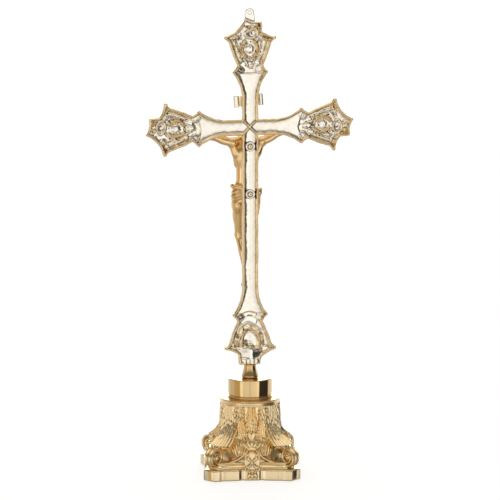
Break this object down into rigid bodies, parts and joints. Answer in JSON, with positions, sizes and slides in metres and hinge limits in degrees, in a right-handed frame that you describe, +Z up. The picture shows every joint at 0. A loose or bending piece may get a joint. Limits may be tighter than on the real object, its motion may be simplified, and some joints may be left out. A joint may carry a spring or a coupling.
{
  "type": "altar cross",
  "caption": "Polished brass altar crucifix on an inverted Corinthian capital base with a turned drum and baluster.",
  "frame": {"origin": "on the table plane, on the axis of the cross and its tie rod", "axes": "+Z up along the upright, X along the arms, -Y the front that carries the figure"},
  "size_m": [0.174, 0.0898, 0.3808],
  "materials": {
    "pale_brass": "polished",
    "deep_brass": "polished",
    "warm_brass": "polished",
    "steel": "satin"
  },
  "bodies": {
    "base": {"capital_base": "warm_brass", "drum": "warm_brass", "base_washer": "steel"},
    "cross_assembly": {"cross": "pale_brass", "neck": "warm_brass", "tie_rod": "steel", "base_nut": "steel", "titulus": "pale_brass", "titulus_pin": "deep_brass", "corpus": "deep_brass", "left_hand_nail": "warm_brass", "right_hand_nail": "warm_brass", "foot_nail": "warm_brass", "upper_corpus_stud": "steel", "lower_corpus_stud": "steel", "upper_ring_nut": "pale_brass", "lower_ring_nut": "pale_brass"}
  },
  "joints": [
    {"name": "cross_turn", "type": "hinge", "parent": "base", "child": "cross_assembly", "pos_m": [0, 0, 0.0788], "axis": [0, 0, 1], "range_deg": [-180, 180]}
  ]
}
